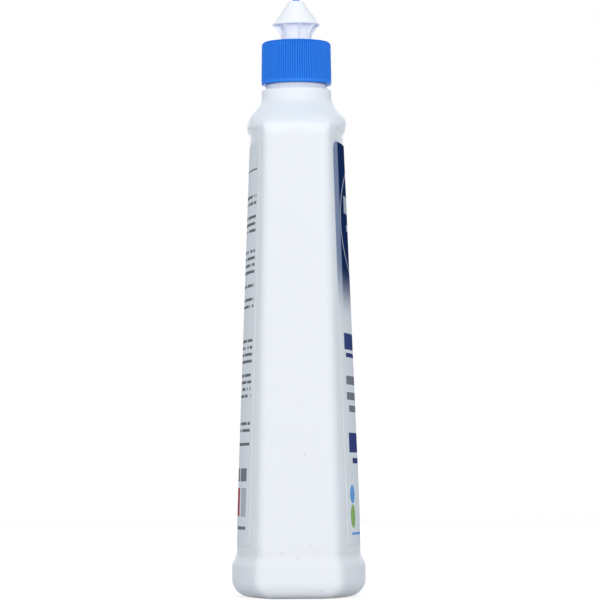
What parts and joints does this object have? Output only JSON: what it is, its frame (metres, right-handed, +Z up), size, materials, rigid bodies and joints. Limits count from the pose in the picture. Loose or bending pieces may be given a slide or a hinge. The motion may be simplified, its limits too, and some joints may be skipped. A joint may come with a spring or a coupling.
{
  "type": "floor cleaner bottle",
  "caption": "Flat tapered plastic bottle of floor cleaner with a label on each broad face, a ribbed blue screw cap and a white push-pull pouring spout.",
  "frame": {"origin": "middle of the bottle's standing base", "axes": "+Z up through the neck, X across the broad label faces, the front label faces -Y"},
  "size_m": [0.0992, 0.0618, 0.2784],
  "materials": {
    "milky_plastic": "satin, milky and slightly see-through",
    "blue_plastic": "satin",
    "white_plastic": "satin",
    "white_foam": "matt foam",
    "front_film": "smooth film",
    "back_film": "smooth film",
    "pale_liquid": "clear"
  },
  "bodies": {
    "bottle_body": {"bottle": "milky_plastic", "front_label": "front_film", "back_label": "back_film", "cleaning_liquid": "pale_liquid"},
    "liner_body": {"liner": "white_foam"},
    "cap_body": {"cap": "blue_plastic"},
    "spout_body": {"spout": "white_plastic"}
  },
  "joints": [
    {"name": "cap_lift", "type": "slide", "parent": "bottle_body", "child": "liner_body", "axis": [0, 0, 1], "range_m": [0, 0.0066]},
    {"name": "cap_turn", "type": "hinge", "parent": "liner_body", "child": "cap_body", "pos_m": [0, 0, 0.247], "axis": [0, 0, 1], "range_deg": [0, 540]},
    {"name": "spout_pull", "type": "slide", "parent": "cap_body", "child": "spout_body", "axis": [0, 0, 1], "range_m": [0, 0.006]}
  ],
  "couplings": [
    {"joint": "cap_lift", "follows": "cap_turn", "m_per_rad": 0.00067375}
  ]
}
